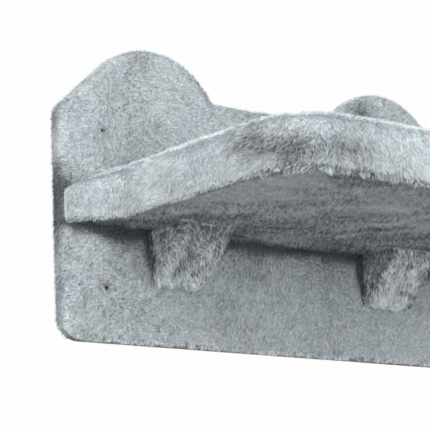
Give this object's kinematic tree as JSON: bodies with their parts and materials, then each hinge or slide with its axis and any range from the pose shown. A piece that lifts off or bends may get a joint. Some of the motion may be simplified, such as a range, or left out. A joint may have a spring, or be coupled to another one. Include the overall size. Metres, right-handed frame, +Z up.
{
  "type": "wall mounted cat shelf",
  "caption": "Plush-covered wall lounge for a cat: padded seat on wedge brackets, backboard with rounded humps along its top edge.",
  "frame": {"origin": "middle of the wall hole pattern, in the plane of the wall", "axes": "+X along the wall, +Y into the wall, so the seat reaches towards -Y, +Z up"},
  "size_m": [0.5, 0.2755, 0.275],
  "materials": {
    "plush": "short grey pile",
    "chipboard": "raw chipboard",
    "wood": "raw pine",
    "foam": "open-cell foam",
    "steel": "zinc plated"
  },
  "bodies": {
    "root": {"backboard_panel": "chipboard", "backboard_plush": "plush", "shelf_board": "chipboard", "shelf_foam": "foam", "shelf_plush": "plush", "shelf_lining": "plush", "bracket_block_left": "wood", "bracket_block_right": "wood", "bracket_plush_left": "plush", "bracket_plush_right": "plush", "shelf_screw_1": "steel", "shelf_screw_2": "steel", "shelf_screw_3": "steel", "bracket_screw_1": "steel", "bracket_screw_2": "steel", "bracket_screw_3": "steel", "bracket_screw_4": "steel"}
  },
  "joints": []
}
